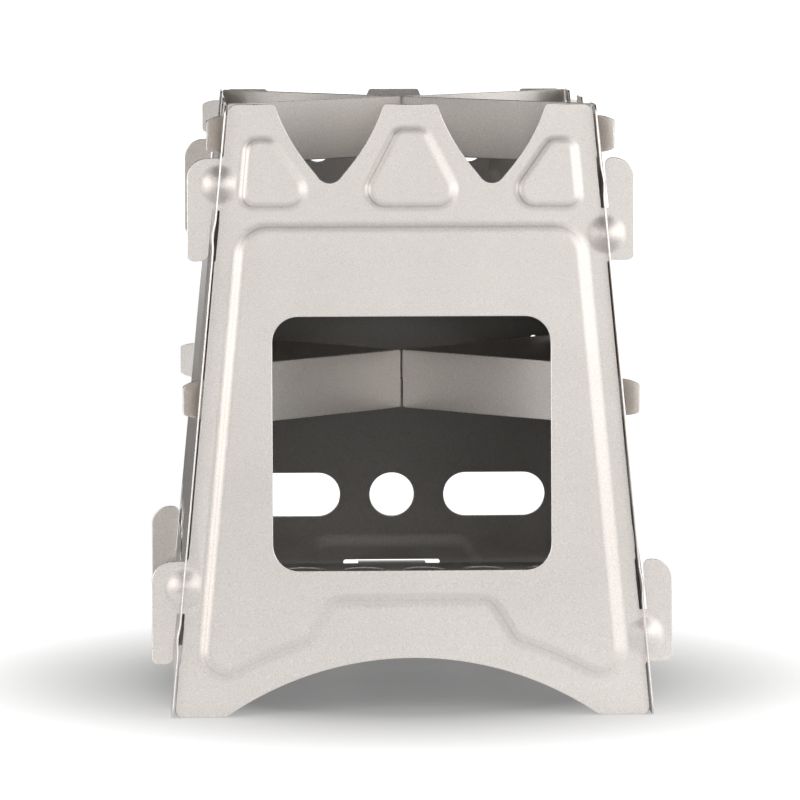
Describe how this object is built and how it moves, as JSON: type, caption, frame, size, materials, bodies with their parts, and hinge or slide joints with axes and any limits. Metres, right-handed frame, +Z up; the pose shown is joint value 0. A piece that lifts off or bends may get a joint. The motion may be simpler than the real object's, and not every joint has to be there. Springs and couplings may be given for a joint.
{
  "type": "backpacking wood stove",
  "caption": "Slot-together camp stove of thin titanium sheet: four hooked leaning walls with a crown rim and a feed window, a perforated grate, and crossed strips that hold a pot.",
  "frame": {"origin": "on the ground, in the middle of the stove's footprint", "axes": "+Z up, the front wall with its feed window faces -Y, +X to the right as seen from the front"},
  "size_m": [0.142, 0.135, 0.166],
  "materials": {
    "sheet": "bead-blasted titanium, matt, with bright cut edges",
    "strip": "bead-blasted titanium, matt, with bright cut edges",
    "grate": "bead-blasted titanium, matt"
  },
  "bodies": {
    "walls": {"front_wall": "sheet", "back_wall": "sheet", "left_wall": "sheet", "right_wall": "sheet", "grate": "grate", "lower_strip_under": "strip", "lower_strip_over": "strip"},
    "under_strip": {"upper_strip_under": "strip"},
    "over_strip": {"upper_strip_over": "strip"}
  },
  "joints": [
    {"name": "lift_under_strip", "type": "slide", "parent": "walls", "child": "under_strip", "axis": [0, 0, 1], "range_m": [0, 0.025]},
    {"name": "lift_over_strip", "type": "slide", "parent": "under_strip", "child": "over_strip", "axis": [0, 0, 1], "range_m": [0, 0.025]}
  ]
}
